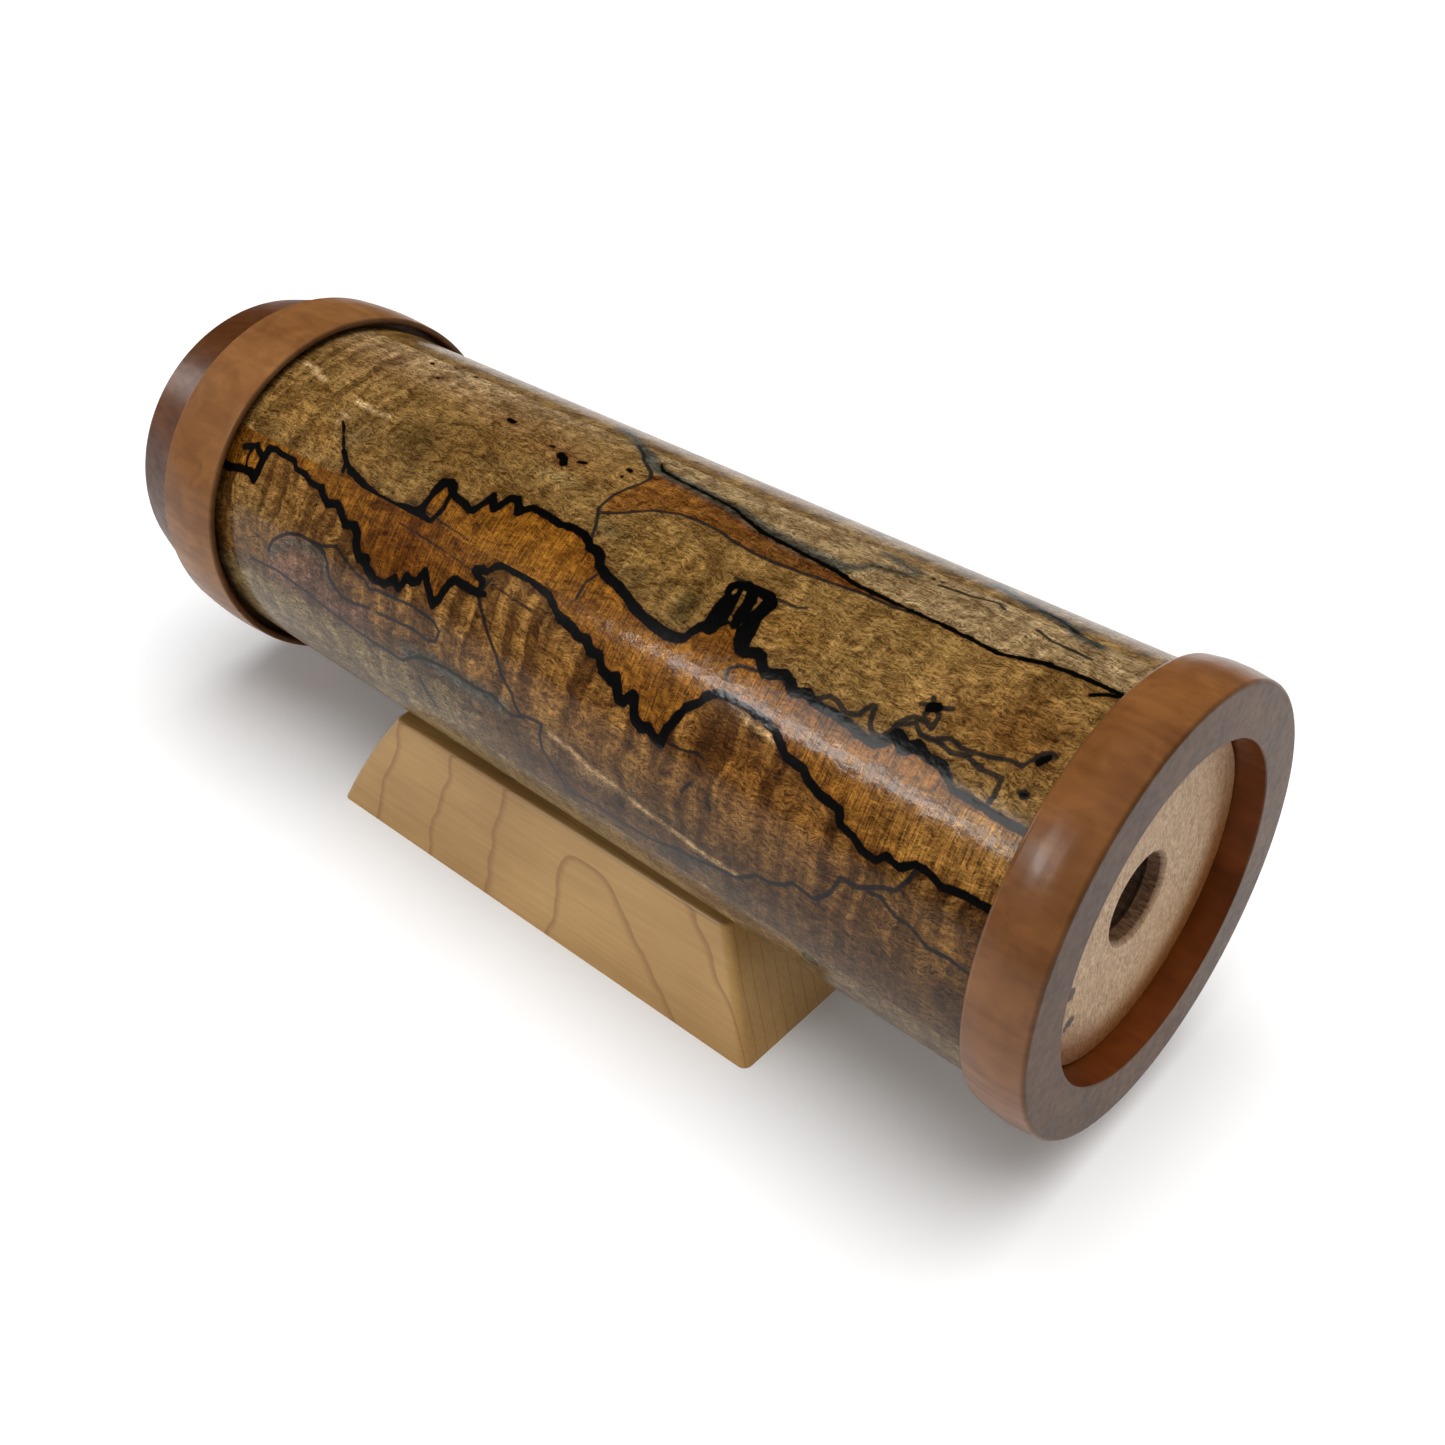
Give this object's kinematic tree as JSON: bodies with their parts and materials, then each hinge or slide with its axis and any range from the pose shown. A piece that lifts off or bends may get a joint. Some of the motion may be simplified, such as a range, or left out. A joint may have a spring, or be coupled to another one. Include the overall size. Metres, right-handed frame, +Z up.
{
  "type": "kaleidoscope",
  "caption": "Turned wooden kaleidoscope with a turning object cell and ring eyepiece, resting in a low wooden cradle block.",
  "frame": {"origin": "on the table, under the middle of the tube's length", "axes": "+X along the tube towards the eyepiece, +Z up out of the table"},
  "size_m": [0.2162, 0.0754, 0.0833],
  "materials": {
    "spalted_wood": "high-gloss lacquer over mottled spalted wood with black zone lines",
    "ring_wood": "satin lacquered red-brown wood",
    "collar_wood": "satin lacquered light red-brown wood",
    "cap_wood": "satin lacquered dark red-brown wood",
    "disc_wood": "pale figured wood, matt",
    "cradle_wood": "pale golden wood, satin",
    "clear_glass": "clear",
    "frosted_glass": "frosted",
    "mirror_glass": "front-surface mirror",
    "black_card": "matt black",
    "binding_tape": "matt black cloth tape",
    "foam_rubber": "matt black foam rubber",
    "spring_steel": "bright drawn wire",
    "brass": "plain brass",
    "felt": "dark wool felt",
    "coloured_glass": "coloured glass pieces"
  },
  "bodies": {
    "cradle": {"cradle_block": "cradle_wood"},
    "scope": {"barrel_stave_1": "spalted_wood", "barrel_stave_2": "spalted_wood", "barrel_stave_3": "spalted_wood", "barrel_stave_4": "spalted_wood", "barrel_stave_5": "spalted_wood", "barrel_stave_6": "spalted_wood", "eyepiece_ring": "ring_wood", "eyepiece_disc": "disc_wood", "eye_window": "clear_glass", "front_spacer": "black_card", "mirror_left": "mirror_glass", "mirror_right": "mirror_glass", "mirror_top_strip": "mirror_glass", "mirror_bindings": "binding_tape", "mirror_support_front": "foam_rubber", "mirror_support_rear": "foam_rubber", "barrel_end_glass": "clear_glass", "end_glass_snap_ring": "spring_steel", "felt_washer": "felt", "retaining_washer": "brass", "retaining_screws": "brass"},
    "object_cell": {"cell_collar": "collar_wood", "cell_end_cap": "cap_wood", "cell_inner_glass": "clear_glass", "cell_spacer_ring": "black_card", "cell_frosted_glass": "frosted_glass", "cell_retaining_ring": "brass", "glass_beads": "coloured_glass", "glass_rods": "coloured_glass", "glass_shards": "coloured_glass"}
  },
  "joints": [
    {"name": "scope_lift", "type": "slide", "parent": "cradle", "child": "scope", "axis": [0, 0, 1], "range_m": [0, 0.06]},
    {"name": "object_cell_spin", "type": "hinge", "parent": "scope", "child": "object_cell", "pos_m": [-0.0858, 0, 0.0455], "axis": [1, 0, 0], "continuous": true}
  ]
}
